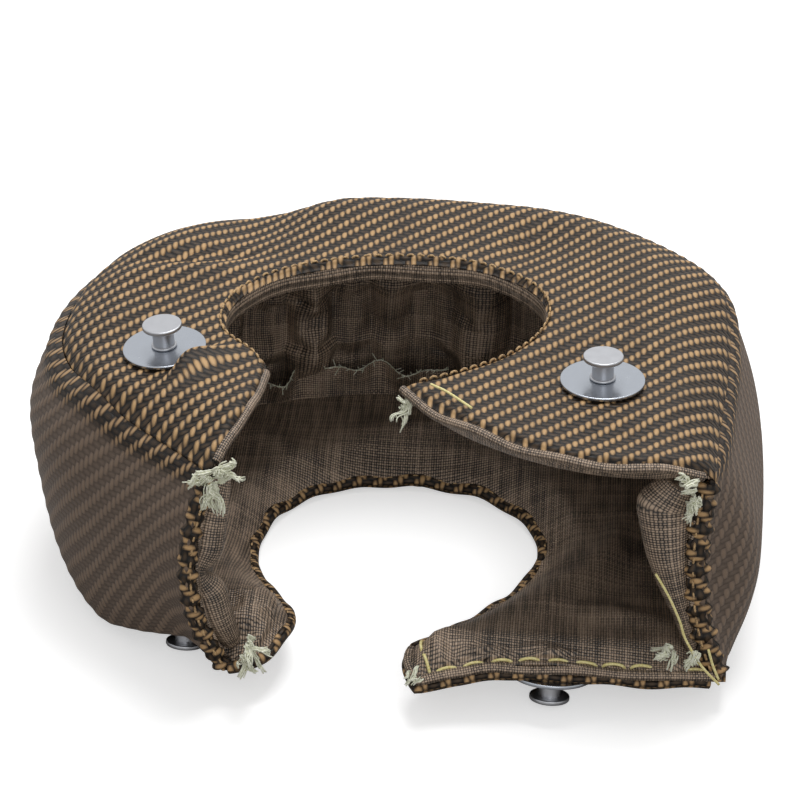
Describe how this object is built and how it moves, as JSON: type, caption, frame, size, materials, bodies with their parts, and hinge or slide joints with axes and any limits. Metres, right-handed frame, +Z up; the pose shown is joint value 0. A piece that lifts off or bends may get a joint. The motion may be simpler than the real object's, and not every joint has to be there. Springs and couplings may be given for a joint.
{
  "type": "turbo heat blanket",
  "caption": "C-shaped quilted heat jacket that wraps a turbocharger's turbine housing, with a round hole and a front slit in each face and riveted capstans for lacing wire.",
  "frame": {"origin": "bottom centre of the bounding box, on the floor the jacket lies on", "axes": "+X across the jacket, +Y away from its front opening, +Z up out of the round hole"},
  "size_m": [0.2114, 0.1884, 0.0873],
  "materials": {
    "cover_twill": "coarse twill cloth, brown-grey",
    "insulation_felt": "pale needled felt",
    "lining_cloth": "fine plain cloth, dark brown",
    "washer_metal": "bright zinc-like finish",
    "capstan_metal": "satin"
  },
  "bodies": {
    "root": {"top_cover": "cover_twill", "top_insulation": "insulation_felt", "top_lining": "lining_cloth", "wall_cover": "cover_twill", "wall_insulation": "insulation_felt", "wall_lining": "lining_cloth", "bottom_cover": "cover_twill", "bottom_insulation": "insulation_felt", "bottom_lining": "lining_cloth", "top_left_washer": "washer_metal", "top_left_capstan": "capstan_metal", "top_left_backing_washer": "washer_metal", "top_right_washer": "washer_metal", "top_right_capstan": "capstan_metal", "top_right_backing_washer": "washer_metal", "bottom_left_washer": "washer_metal", "bottom_left_capstan": "capstan_metal", "bottom_left_backing_washer": "washer_metal", "bottom_right_washer": "washer_metal", "bottom_right_capstan": "capstan_metal", "bottom_right_backing_washer": "washer_metal"}
  },
  "joints": []
}
